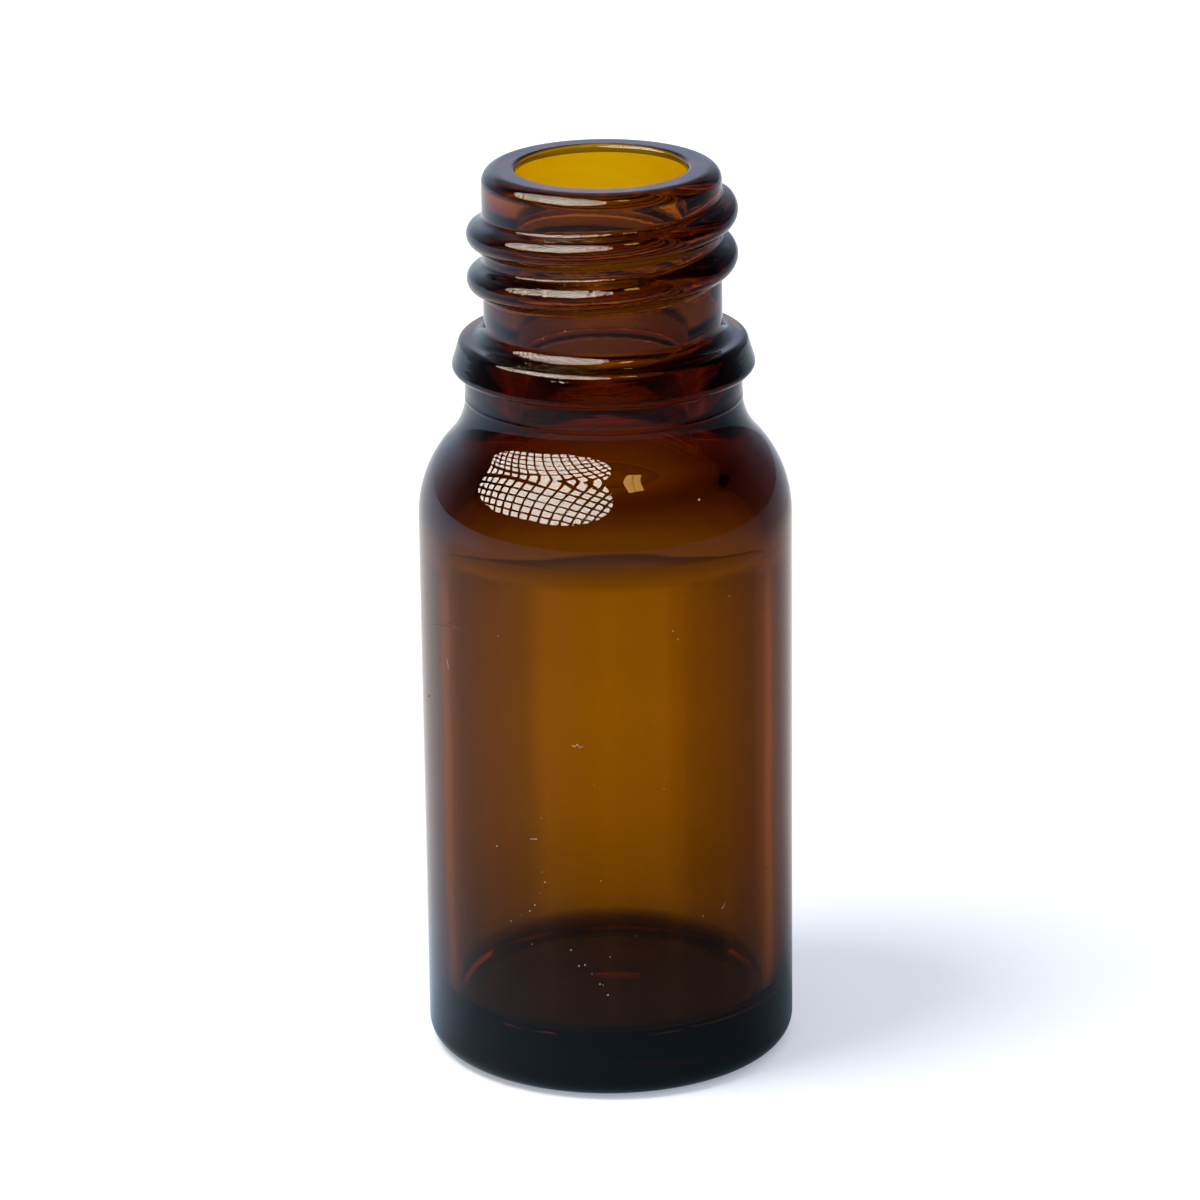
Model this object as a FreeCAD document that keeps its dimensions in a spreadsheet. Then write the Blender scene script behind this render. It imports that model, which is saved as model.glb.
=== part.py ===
import FreeCAD, Part
import math
import os

import Sketcher
from FreeCAD import Placement, Rotation, Vector

# Amber glass bottle with a screw neck, moulded in one piece.
# Millimetres, +Z up, origin at the middle of the ring that it stands on.
# The bottle's front faces -Y.

doc = FreeCAD.newDocument("glass_bottle")

# Driving sizes: name, value and what it measures
SIZES = [
    ("totalHeight", 60.8, "standing ring to rim"),
    ("bodyDiameter", 24.8, "straight part of the body"),
    ("heelRound", 1.5, "outer edge of the base"),
    ("shoulderRound", 7.7, "bulging part of the shoulder"),
    ("shoulderHollow", 4.45, "hollow part of the shoulder, up to the lower neck"),
    ("lowerNeckHeight", 1.63, "short neck between shoulder and bead"),
    ("partingDrop", 1.75, "bead's underside down to the joint of body mould and neck ring"),
    ("partingWidth", 0.3, "foot of the ridge along that joint"),
    ("partingRise", 0.08, "how far that ridge stands proud"),
    ("finishHeight", 13.65, "bead's underside up to the rim"),
    ("beadHeight", 2.3, "underside to top of the transfer bead"),
    ("beadOverhang", 1.0, "bead's lower corner beyond the lower neck"),
    ("beadTaper", 0.7, "bead's lower corner beyond its upper corner"),
    ("beadLedge", 0.65, "bead's upper corner beyond the hollow at the neck"),
    ("beadLowerRound", 0.45, "bead's lower corner"),
    ("beadUpperRound", 0.5, "bead's upper corner"),
    ("beadNeckRound", 0.95, "hollow between bead and neck"),
    ("neckDiameter", 15.7, "neck between the thread's turns"),
    ("neckWall", 2.25, "glass between that neck and the bore"),
    ("rimRound", 0.95, "outer edge of the rim"),
    ("mouthRound", 0.35, "inner edge of the rim"),
    ("wallThickness", 2.0, "glass in the body's wall"),
    ("floorThickness", 3.4, "standing ring to the floor of the cavity"),
    ("cavityHeelRound", 1.6, "inner edge of the floor"),
    ("cavityShoulderDrop", 2.0, "outer shoulder's start down to the cavity's, under thicker glass"),
    ("cavityShoulderRound", 5.7, "bulging part of the cavity's shoulder"),
    ("cavityHollow", 5.5, "funnel from the shoulder up into the bore"),
    ("bearingWidth", 1.6, "flat ring that the bottle stands on"),
    ("pushUpDepth", 0.7, "height of the dome inside that ring"),
    ("threadRise", 1.05, "thread's crest above the neck"),
    ("threadCrestRound", 0.95, "thread's crest"),
    ("threadLand", 0.19, "bare neck between two turns of the thread"),
    ("threadPitch", 3.0, "rise of one turn"),
    ("threadDrop", 2.58, "rim down to the middle of the thread's start"),
    ("threadLift", 2.5, "bead's top up to the middle of the thread's end"),
    ("threadStart", 40.0, "angle of the start, turned from +X towards +Y"),
    ("threadFade", 26.0, "angle over which each end sinks into the neck"),
]

# Working allowances that only keep cuts and joins clean
CUT_PAST = 1.0
THREAD_LIP = 0.05
THREAD_BURY = 0.45
PATH_STEP = 6.5
PATH_TOLERANCE = 0.001
PATH_DEGREE = 4

sheet = doc.addObject("Spreadsheet::Sheet", "sizes")
for row, (name, value, note) in enumerate(SIZES, start=1):
    sheet.set(f"A{row}", note)
    sheet.set(f"B{row}", str(value))
    sheet.setAlias(f"B{row}", name)

body = doc.addObject("PartDesign::Body", "bottle")
body.Label = "bottle"
doc.recompute()


def size(name):
    return float(sheet.get(name))


def worked_out(formula):
    """The number that a formula of the sheet's sizes comes to."""
    return float(body.evalExpression(formula))


def origin_feature(role):
    return next(item for item in body.Origin.OriginFeatures if item.Role == role)


START, END, CENTRE = range(1, 4)
ORIGIN = (-1, 1)


class Profile:
    """A closed sketch in the plane of X and Z, drawn edge after edge."""

    def __init__(self, name):
        self.sketch = body.newObject("Sketcher::SketchObject", name)
        self.sketch.AttachmentSupport = [(origin_feature("XZ_Plane"), "")]
        self.sketch.MapMode = "FlatFace"

    def line(self, start, end):
        return self.sketch.addGeometry(Part.LineSegment(Vector(*start, 0), Vector(*end, 0)), False)

    def arc(self, centre, radius, first, last):
        circle = Part.Circle(Vector(*centre, 0), Vector(0, 0, 1), radius)
        return self.sketch.addGeometry(Part.ArcOfCircle(circle, first, last), False)

    def rule(self, kind, *where):
        return self.sketch.addConstraint(Sketcher.Constraint(kind, *where))

    def join(self, *ends):
        for (edge_a, end_a), (edge_b, end_b) in ends:
            self.rule("Coincident", edge_a, end_a, edge_b, end_b)

    def smooth(self, *ends):
        for (edge_a, end_a), (edge_b, end_b) in ends:
            self.rule("Tangent", edge_a, end_a, edge_b, end_b)

    def flat(self, *edges):
        for edge in edges:
            self.rule("Horizontal", edge)

    def upright(self, *edges):
        for edge in edges:
            self.rule("Vertical", edge)

    def measure(self, kind, where, name, formula):
        index = self.rule(kind, *where, worked_out(formula))
        self.sketch.renameConstraint(index, name)
        self.sketch.setExpression(f"Constraints.{name}", formula)

    def out(self, edge, end, name, formula):
        """Distance of an end of an edge from the bottle's axis."""
        self.measure("DistanceX", (*ORIGIN, edge, end), name, formula)

    def up(self, edge, end, name, formula):
        """Height of an end of an edge above the standing ring."""
        self.measure("DistanceY", (*ORIGIN, edge, end), name, formula)

    def radius(self, edge, name, formula):
        self.measure("Radius", (edge,), name, formula)


def turned(kind, name, profile):
    """A Revolution or a Groove of the profile, once round the Z axis."""
    feature = body.newObject(f"PartDesign::{kind}", name)
    feature.Profile = profile.sketch
    feature.ReferenceAxis = (origin_feature("Z_Axis"), [""])
    feature.Angle = 360
    profile.sketch.Visibility = False
    doc.recompute()
    return feature


def rings(shape, radius, height):
    """Names of the shape's circular edges of this radius at this height."""
    found = []
    for index, edge in enumerate(shape.Edges, start=1):
        if not isinstance(edge.Curve, Part.Circle):
            continue
        same_radius = abs(edge.Curve.Radius - radius) < 1e-4
        same_height = abs(edge.Curve.Center.z - height) < 1e-4
        if same_radius and same_height:
            found.append(f"Edge{index}")
    return found


def rounded(base, name, radius, height, round_size):
    """A fillet on the ring of this radius and height."""
    feature = body.newObject("PartDesign::Fillet", name)
    feature.Base = (base, rings(base.Shape, radius, height))
    feature.Radius = size(round_size)
    feature.setExpression("Radius", f"sizes.{round_size}")
    doc.recompute()
    return feature


def rise_between(big_radius, big_out, small_radius, small_out):
    """Formula of the height from the centre of the bulging arc to that of the hollow arc."""
    across = f"({small_out} + {small_radius} - ({big_out} - {big_radius}))"
    return f"sqrt(({big_radius} + {small_radius})^2 - {across}^2)"


# Distances from the axis, as formulas of the sizes
BODY_OUT = "(sizes.bodyDiameter / 2)"
NECK_OUT = "(sizes.neckDiameter / 2)"
BEAD_HIGH_OUT = f"({NECK_OUT} + sizes.beadNeckRound + sizes.beadLedge)"
BEAD_LOW_OUT = f"({BEAD_HIGH_OUT} + sizes.beadTaper)"
LOWER_NECK_OUT = f"({BEAD_LOW_OUT} - sizes.beadOverhang)"
CAVITY_OUT = f"({BODY_OUT} - sizes.wallThickness)"
BORE_OUT = f"({NECK_OUT} - sizes.neckWall)"
PUSH_UP_OUT = f"({BODY_OUT} - sizes.heelRound - sizes.bearingWidth)"

# Heights above the standing ring; the body's wall takes up what the rest leaves
BEAD_BOTTOM = "(sizes.totalHeight - sizes.finishHeight)"
BEAD_TOP = f"({BEAD_BOTTOM} + sizes.beadHeight)"
NECK_START = f"({BEAD_BOTTOM} - sizes.lowerNeckHeight)"
SHOULDER_RISE = rise_between(
    "sizes.shoulderRound", BODY_OUT, "sizes.shoulderHollow", LOWER_NECK_OUT
)
WALL_TOP = f"({NECK_START} - {SHOULDER_RISE})"
PARTING_UP = f"({BEAD_BOTTOM} - sizes.partingDrop)"

# Outside of the glass, turned about the axis
body_out = worked_out(BODY_OUT)
neck_out = worked_out(NECK_OUT)
bead_high_out = worked_out(BEAD_HIGH_OUT)
bead_low_out = worked_out(BEAD_LOW_OUT)
lower_neck_out = worked_out(LOWER_NECK_OUT)
height = size("totalHeight")
bead_bottom = worked_out(BEAD_BOTTOM)
bead_top = worked_out(BEAD_TOP)
neck_start = worked_out(NECK_START)
wall_top = worked_out(WALL_TOP)
bulge = size("shoulderRound")
hollow = size("shoulderHollow")
shoulder_angle = math.asin((neck_start - wall_top) / (bulge + hollow))

outside = Profile("outside_profile")
base = outside.line((0, 0), (body_out, 0))
wall = outside.line((body_out, 0), (body_out, wall_top))
shoulder = outside.arc((body_out - bulge, wall_top), bulge, 0, shoulder_angle)
sweep_up = outside.arc(
    (lower_neck_out + hollow, neck_start), hollow, math.pi, math.pi + shoulder_angle
)
lower_neck = outside.line((lower_neck_out, neck_start), (lower_neck_out, bead_bottom))
bead_under = outside.line((lower_neck_out, bead_bottom), (bead_low_out, bead_bottom))
bead_flank = outside.line((bead_low_out, bead_bottom), (bead_high_out, bead_top))
bead_ledge = outside.line((bead_high_out, bead_top), (neck_out, bead_top))
neck = outside.line((neck_out, bead_top), (neck_out, height))
rim = outside.line((neck_out, height), (0, height))
axis = outside.line((0, height), (0, 0))

outside.join(
    (ORIGIN, (base, START)),
    ((base, END), (wall, START)),
    ((lower_neck, END), (bead_under, START)),
    ((bead_under, END), (bead_flank, START)),
    ((bead_flank, END), (bead_ledge, START)),
    ((bead_ledge, END), (neck, START)),
    ((neck, END), (rim, START)),
    ((rim, END), (axis, START)),
    ((axis, END), (base, START)),
)
outside.smooth(
    ((wall, END), (shoulder, START)),
    ((shoulder, END), (sweep_up, END)),
    ((sweep_up, START), (lower_neck, START)),
)
outside.flat(base, bead_under, bead_ledge, rim)
outside.upright(wall, lower_neck, neck, axis)
outside.out(base, END, "bodyOut", BODY_OUT)
outside.up(wall, END, "wallUp", WALL_TOP)
outside.radius(shoulder, "shoulderRadius", "sizes.shoulderRound")
outside.radius(sweep_up, "hollowRadius", "sizes.shoulderHollow")
outside.out(lower_neck, END, "lowerNeckOut", LOWER_NECK_OUT)
outside.up(lower_neck, END, "beadUp", BEAD_BOTTOM)
outside.out(bead_flank, START, "beadLowOut", BEAD_LOW_OUT)
outside.out(bead_flank, END, "beadHighOut", BEAD_HIGH_OUT)
outside.up(bead_flank, END, "beadTopUp", BEAD_TOP)
outside.out(neck, START, "neckOut", NECK_OUT)
outside.up(neck, END, "rimUp", "sizes.totalHeight")

blank = turned("Revolution", "blank", outside)
heel = rounded(blank, "heel", body_out, 0, "heelRound")
bead_low = rounded(heel, "bead_lower_edge", bead_low_out, bead_bottom, "beadLowerRound")
bead_high = rounded(bead_low, "bead_upper_edge", bead_high_out, bead_top, "beadUpperRound")
bead_root = rounded(bead_high, "bead_root", neck_out, bead_top, "beadNeckRound")
rim_edge = rounded(bead_root, "rim_edge", neck_out, height, "rimRound")

# Fine ridge where the body mould met the neck ring
parting = Profile("parting_profile")
parting_out = lower_neck_out + size("partingRise")
parting_in = lower_neck_out - size("partingRise")
parting_half = size("partingWidth") / 2
parting_up = worked_out(PARTING_UP)
lower_face = parting.line((parting_in, parting_up - parting_half), (parting_out, parting_up))
upper_face = parting.line((parting_out, parting_up), (parting_in, parting_up + parting_half))
ridge_back = parting.line(
    (parting_in, parting_up + parting_half), (parting_in, parting_up - parting_half)
)
parting.join(
    ((lower_face, END), (upper_face, START)),
    ((upper_face, END), (ridge_back, START)),
    ((ridge_back, END), (lower_face, START)),
)
parting.upright(ridge_back)
parting.out(lower_face, END, "crestOut", f"{LOWER_NECK_OUT} + sizes.partingRise")
parting.out(ridge_back, END, "footOut", f"{LOWER_NECK_OUT} - sizes.partingRise")
parting.up(lower_face, END, "crestUp", PARTING_UP)
parting.up(lower_face, START, "footUp", f"{PARTING_UP} - sizes.partingWidth / 2")
parting.up(upper_face, END, "footTop", f"{PARTING_UP} + sizes.partingWidth / 2")
turned("Revolution", "parting_ridge", parting)

# Cavity: floor, wall, shoulder and bore in one turned cut
INNER_TOP = f"({WALL_TOP} - sizes.cavityShoulderDrop)"
INNER_RISE = rise_between("sizes.cavityShoulderRound", CAVITY_OUT, "sizes.cavityHollow", BORE_OUT)
BORE_TOP = f"(sizes.totalHeight + {CUT_PAST})"

cavity_out = worked_out(CAVITY_OUT)
bore_out = worked_out(BORE_OUT)
bore_top = worked_out(BORE_TOP)
inner_top = worked_out(INNER_TOP)
bore_start = worked_out(f"{INNER_TOP} + {INNER_RISE}")
inner_bulge = size("cavityShoulderRound")
inner_hollow = size("cavityHollow")
inner_angle = math.asin((bore_start - inner_top) / (inner_bulge + inner_hollow))

inside = Profile("cavity_profile")
floor = inside.line((0, size("floorThickness")), (cavity_out, size("floorThickness")))
inner_wall = inside.line((cavity_out, size("floorThickness")), (cavity_out, inner_top))
inner_shoulder = inside.arc((cavity_out - inner_bulge, inner_top), inner_bulge, 0, inner_angle)
funnel = inside.arc(
    (bore_out + inner_hollow, bore_start), inner_hollow, math.pi, math.pi + inner_angle
)
bore = inside.line((bore_out, bore_start), (bore_out, bore_top))
above = inside.line((bore_out, bore_top), (0, bore_top))
inner_axis = inside.line((0, bore_top), (0, size("floorThickness")))
inside.join(
    ((floor, END), (inner_wall, START)),
    ((bore, END), (above, START)),
    ((above, END), (inner_axis, START)),
    ((inner_axis, END), (floor, START)),
)
inside.smooth(
    ((inner_wall, END), (inner_shoulder, START)),
    ((inner_shoulder, END), (funnel, END)),
    ((funnel, START), (bore, START)),
)
inside.flat(floor, above)
inside.upright(inner_wall, bore, inner_axis)
inside.rule("PointOnObject", floor, START, -2)
inside.up(floor, START, "floorUp", "sizes.floorThickness")
inside.out(floor, END, "cavityOut", CAVITY_OUT)
inside.up(inner_wall, END, "innerWallUp", INNER_TOP)
inside.radius(inner_shoulder, "innerShoulderRadius", "sizes.cavityShoulderRound")
inside.radius(funnel, "funnelRadius", "sizes.cavityHollow")
inside.out(bore, END, "boreOut", BORE_OUT)
inside.up(bore, END, "boreUp", BORE_TOP)
cavity = turned("Groove", "cavity", inside)
cavity_heel = rounded(cavity, "cavity_heel", cavity_out, size("floorThickness"), "cavityHeelRound")
rounded(cavity_heel, "mouth_edge", bore_out, height, "mouthRound")

# Shallow dome under the base, which leaves the ring that the bottle stands on
push_out = worked_out(PUSH_UP_OUT)
push_depth = size("pushUpDepth")
push_radius = (push_out ** 2 + push_depth ** 2) / (2 * push_depth)
push = Profile("push_up_profile")
dome = push.arc(
    (0, push_depth - push_radius), push_radius,
    math.atan2(push_radius - push_depth, push_out), math.pi / 2,
)
push_side = push.line((push_out, 0), (push_out, -CUT_PAST))
below = push.line((push_out, -CUT_PAST), (0, -CUT_PAST))
push_axis = push.line((0, -CUT_PAST), (0, push_depth))
push.join(
    ((dome, START), (push_side, START)),
    ((push_side, END), (below, START)),
    ((below, END), (push_axis, START)),
    ((push_axis, END), (dome, END)),
)
push.flat(below)
push.upright(push_side, push_axis)
push.rule("PointOnObject", dome, CENTRE, -2)
push.rule("PointOnObject", dome, START, -1)
push.rule("PointOnObject", push_axis, START, -2)
push.out(push_side, START, "pushOut", PUSH_UP_OUT)
push.up(dome, END, "pushDepth", "sizes.pushUpDepth")
push.measure("DistanceY", (below, START, *ORIGIN), "cutPast", str(CUT_PAST))
turned("Groove", "push_up", push)

# Thread: one rounded ridge swept down the neck, its ends sunk in the glass
start_angle = size("threadStart")
thread_top = height - size("threadDrop")
thread_end = bead_top + size("threadLift")
thread_sweep = 360 * (thread_top - thread_end) / size("threadPitch")
thread_rise = size("threadRise")
sink = thread_rise + 2 * THREAD_LIP


def path_point(turned_by):
    """A point of the thread's path, this many degrees on from its start."""
    from_end = min(turned_by, thread_sweep - turned_by)
    sunk = 0.5 * (1 + math.cos(math.pi * min(from_end / size("threadFade"), 1)))
    out = neck_out - sink * sunk
    angle = math.radians(start_angle - turned_by)
    drop = size("threadPitch") * turned_by / 360
    return Vector(out * math.cos(angle), out * math.sin(angle), thread_top - drop)


steps = round(thread_sweep / PATH_STEP)
path_curve = Part.BSplineCurve()
path_curve.approximate(
    Points=[path_point(thread_sweep * step / steps) for step in range(steps + 1)],
    DegMax=PATH_DEGREE,
    Tolerance=PATH_TOLERANCE,
    Continuity="C2",
)
path = doc.addObject("Part::Feature", "thread_path")
path.Shape = path_curve.toShape()

PATH_OUT = f"({NECK_OUT} - sizes.threadRise - {2 * THREAD_LIP})"
FOOT_OUT = f"({PATH_OUT} - {THREAD_LIP})"
BACK_OUT = f"({PATH_OUT} - {THREAD_BURY})"
CREST_CENTRE_OUT = f"({PATH_OUT} + sizes.threadRise - sizes.threadCrestRound)"
FOOT_RISE = "(sizes.threadPitch - sizes.threadLand) / 2"

crest_round = size("threadCrestRound")
crest_centre = worked_out(CREST_CENTRE_OUT)
foot_out = worked_out(FOOT_OUT)
back_out = worked_out(BACK_OUT)
foot_rise = worked_out(FOOT_RISE)
foot_past = foot_out - crest_centre
root_round = (foot_rise ** 2 + foot_past ** 2 - crest_round ** 2) / (2 * (crest_round - foot_past))
flank_angle = math.atan2(foot_rise, foot_past + root_round)
foot_top = thread_top + foot_rise
foot_bottom = thread_top - foot_rise

section = Profile("thread_section")
section.sketch.AttachmentOffset = Placement(Vector(), Rotation(Vector(0, 1, 0), start_angle))
section.sketch.setExpression(".AttachmentOffset.Rotation.Angle", "sizes.threadStart")
crest = section.arc((crest_centre, thread_top), crest_round, -flank_angle, flank_angle)
upper_root = section.arc(
    (foot_out + root_round, foot_top), root_round, math.pi, math.pi + flank_angle
)
lower_root = section.arc(
    (foot_out + root_round, foot_bottom), root_round, math.pi - flank_angle, math.pi
)
upper_side = section.line((foot_out, foot_top), (back_out, foot_top))
back = section.line((back_out, foot_top), (back_out, foot_bottom))
lower_side = section.line((back_out, foot_bottom), (foot_out, foot_bottom))
section.smooth(
    ((crest, END), (upper_root, END)),
    ((crest, START), (lower_root, START)),
)
section.join(
    ((upper_root, START), (upper_side, START)),
    ((upper_side, END), (back, START)),
    ((back, END), (lower_side, START)),
    ((lower_side, END), (lower_root, END)),
)
section.flat(upper_side, lower_side)
section.upright(back)
section.rule("Horizontal", upper_root, START, upper_root, CENTRE)
section.rule("Horizontal", lower_root, END, lower_root, CENTRE)
section.rule("Equal", upper_root, lower_root)
section.radius(crest, "crestRadius", "sizes.threadCrestRound")
section.out(crest, CENTRE, "crestOut", CREST_CENTRE_OUT)
section.up(crest, CENTRE, "crestUp", "sizes.totalHeight - sizes.threadDrop")
section.out(upper_root, START, "footOut", FOOT_OUT)
section.out(lower_root, END, "lowerFootOut", FOOT_OUT)
section.measure("DistanceY", (crest, CENTRE, upper_root, START), "footRise", FOOT_RISE)
section.out(back, START, "backOut", BACK_OUT)
doc.recompute()

thread = body.newObject("PartDesign::AdditivePipe", "thread")
thread.Profile = section.sketch
thread.Spine = (path, ["Edge1"])
thread.Mode = "Binormal"
thread.Binormal = Vector(0, 1, 0)  # upright in the section sketch's own directions
section.sketch.Visibility = False
doc.recompute()

body.Tip = thread
doc.recompute()

for item in doc.Objects:
    if {"Invalid", "Error"} & set(item.State):
        raise RuntimeError(f"{item.Name} could not be built: {item.State}")
bottle = body.Shape
if bottle.isNull() or not bottle.isValid() or len(bottle.Solids) != 1:
    raise RuntimeError("the bottle is not one valid solid")

os.makedirs("parts", exist_ok=True)
bottle.exportStep(f"parts/{body.Label}.step")
print(f"bottle: {bottle.Volume / 1000:.2f} cm3 of glass, {len(bottle.Faces)} faces")
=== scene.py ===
import math

import bpy
from mathutils import Matrix, Vector


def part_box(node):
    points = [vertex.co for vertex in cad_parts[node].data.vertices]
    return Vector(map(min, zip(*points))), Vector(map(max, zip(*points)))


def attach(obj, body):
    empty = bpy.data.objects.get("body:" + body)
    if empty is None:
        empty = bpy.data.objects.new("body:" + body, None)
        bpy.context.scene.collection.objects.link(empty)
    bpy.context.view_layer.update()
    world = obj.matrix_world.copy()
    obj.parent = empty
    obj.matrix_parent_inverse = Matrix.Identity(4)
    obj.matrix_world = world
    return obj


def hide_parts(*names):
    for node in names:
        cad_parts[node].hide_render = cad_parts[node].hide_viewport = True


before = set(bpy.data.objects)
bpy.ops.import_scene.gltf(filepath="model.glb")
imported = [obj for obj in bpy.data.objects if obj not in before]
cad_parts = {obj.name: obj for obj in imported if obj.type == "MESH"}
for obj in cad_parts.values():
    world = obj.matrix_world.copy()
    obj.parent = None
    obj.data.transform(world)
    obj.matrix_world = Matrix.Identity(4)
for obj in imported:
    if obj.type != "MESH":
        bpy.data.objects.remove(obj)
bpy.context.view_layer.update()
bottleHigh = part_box("bottle")[1]
mm = 0.001  # sizes below are in millimetres, Blender's are in metres
scene = bpy.context.scene
scene.view_settings.view_transform = "Standard"
print("frame loaded")


# Helpers for node trees

def addNode(tree, kind, **settings):
    node = tree.nodes.new(kind)
    for name, value in settings.items():
        setattr(node, name, value)
    return node


def feed(tree, socket, value):
    if isinstance(value, bpy.types.NodeSocket):
        tree.links.new(value, socket)
    else:
        socket.default_value = value


def maths(tree, operation, *values):
    node = addNode(tree, "ShaderNodeMath", operation=operation)
    for socket, value in zip(node.inputs, values):
        feed(tree, socket, value)
    return node.outputs[0]


def flatLength(tree, x, y):
    squares = maths(tree, "ADD", maths(tree, "MULTIPLY", x, x), maths(tree, "MULTIPLY", y, y))
    return maths(tree, "SQRT", maths(tree, "MAXIMUM", squares, 1e-12))


def xyzOf(tree, vector):
    parts = addNode(tree, "ShaderNodeSeparateXYZ")
    tree.links.new(vector, parts.inputs[0])
    return parts.outputs


def namedValue(tree, name):
    attribute = addNode(tree, "GeometryNodeInputNamedAttribute", data_type="FLOAT")
    attribute.inputs["Name"].default_value = name
    return attribute.outputs["Attribute"]


def multiplied(tree, first, second):
    both = addNode(tree, "ShaderNodeVectorMath", operation="MULTIPLY")
    tree.links.new(first, both.inputs[0])
    tree.links.new(second, both.inputs[1])
    return both.outputs[0]


def mixed(tree, share, first, second):
    blend = addNode(tree, "ShaderNodeMix", data_type="RGBA")
    feed(tree, blend.inputs[0], share)
    feed(tree, blend.inputs[6], first)
    feed(tree, blend.inputs[7], second)
    return blend.outputs[2]


def chosen(tree, share, first, second):
    # The second shader for the rays that the share picks out, the first for all others
    pick = addNode(tree, "ShaderNodeMixShader")
    tree.links.new(share, pick.inputs[0])
    tree.links.new(first, pick.inputs[1])
    tree.links.new(second, pick.inputs[2])
    return pick.outputs[0]


def glowing(tree, kind, colour, strength=1.0):
    glow = addNode(tree, kind)
    feed(tree, glow.inputs["Color"], colour)
    feed(tree, glow.inputs["Strength"], strength)
    return glow.outputs[0]


def treeInputs(tree, kinds):
    for name, kind in kinds.items():
        tree.interface.new_socket(name, in_out="INPUT", socket_type=kind)
    tree.interface.new_socket("Geometry", in_out="OUTPUT", socket_type="NodeSocketGeometry")
    return addNode(tree, "NodeGroupInput").outputs


def closeTree(tree, geometry, material):
    real = addNode(tree, "GeometryNodeRealizeInstances")
    tree.links.new(geometry, real.inputs["Geometry"])
    finish = addNode(tree, "GeometryNodeSetMaterial")
    tree.links.new(real.outputs[0], finish.inputs["Geometry"])
    finish.inputs["Material"].default_value = material
    ending = addNode(tree, "NodeGroupOutput")
    tree.links.new(finish.outputs[0], ending.inputs[0])


def grownMesh(name, seedMesh, tree, values):
    obj = bpy.data.objects.new(name, seedMesh)
    scene.collection.objects.link(obj)
    modifier = obj.modifiers.new(name, "NODES")
    modifier.node_group = tree
    for item in tree.interface.items_tree:
        if item.in_out == "INPUT" and item.name in values:
            modifier[item.identifier] = values[item.name]
    graph = bpy.context.evaluated_depsgraph_get()
    plain = bpy.data.meshes.new_from_object(obj.evaluated_get(graph))
    obj.modifiers.remove(modifier)
    obj.data = plain
    plain.name = name
    return obj


def levelRamp(tree, value, levels):
    # The value's place in a list of (value, level or colour), read off between neighbours
    first, last = levels[0][0], levels[-1][0]
    share = maths(tree, "DIVIDE", maths(tree, "SUBTRACT", value, first), last - first)
    ramp = addNode(tree, "ShaderNodeValToRGB")
    feed(tree, ramp.inputs[0], share)
    stops = ramp.color_ramp.elements
    while len(stops) < len(levels):
        stops.new(1)
    for stop, (place, level) in zip(stops, levels):
        stop.position = (place - first) / (last - first)
        stop.color = (*level, 1) if isinstance(level, tuple) else (level, level, level, 1)
    return ramp.outputs["Color"]


def principledMaterial(name, colour, roughness):
    material = bpy.data.materials.new(name)
    material.use_nodes = True
    shader = material.node_tree.nodes["Principled BSDF"]
    shader.inputs["Base Color"].default_value = (*colour, 1)
    shader.inputs["Roughness"].default_value = roughness
    return material, shader


# Camera at the photograph's viewing angle

pictureSize = 1200  # pixels of the photograph, which is square
view = {
    "target": Vector((0, 0, 28.75)) * mm,
    "distance": 369.41 * mm,
    "elevation": 19.34,
    "focalPixels": 5523.49,
    "sensor": 36.0,
    "clip": (0.01, 10.0),  # metres
    "yaw": -0.07,
    "pitch": -0.32,
    "roll": -0.70,
}


def makeCamera():
    camera = bpy.data.cameras.new("camera")
    camera.sensor_width = view["sensor"]
    camera.lens = view["focalPixels"] / pictureSize * view["sensor"]
    camera.clip_start, camera.clip_end = view["clip"]
    obj = bpy.data.objects.new("camera", camera)
    scene.collection.objects.link(obj)
    elevation = math.radians(view["elevation"])
    aim = math.radians(view["elevation"] + view["pitch"])
    yaw = math.radians(view["yaw"])
    roll = math.radians(view["roll"])
    forward = Vector((math.sin(yaw) * math.cos(aim), math.cos(yaw) * math.cos(aim),
                      -math.sin(aim)))
    level = forward.cross(Vector((0, 0, 1))).normalized()
    upward = level.cross(forward)
    across = level * math.cos(roll) + upward * math.sin(roll)
    top = upward * math.cos(roll) - level * math.sin(roll)
    place = view["target"] + view["distance"] * Vector(
        (0, -math.cos(elevation), math.sin(elevation)))
    turned = Matrix((across, top, -forward)).transposed().to_4x4()
    obj.matrix_world = Matrix.Translation(place) @ turned
    scene.camera = obj


makeCamera()
print("camera placed")


# Amber glass

amber = {
    "ior": 1.52,
    "keptPerMillimetre": (0.80, 0.605, 0.05),  # share of red, green and blue left after 1 mm
    "densityMargin": 1.02,  # keeps the volume's colour just off black
    "roughness": 0.0,
    "streakLength": 1.6,  # fine streaks that the neck's mould leaves
    "streakHeight": 0.22,
    "streakDepth": 0.012,
    "streakDetail": 2.0,
    "streaksAt": (  # height, and their strength there: on the bead and on the thread
        (45.0, 0.0), (48.0, 1.0), (49.3, 1.0), (50.0, 0.0),
        (52.0, 0.0), (52.8, 1.0), (56.3, 1.0), (57.3, 0.0),
    ),
}


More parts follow.
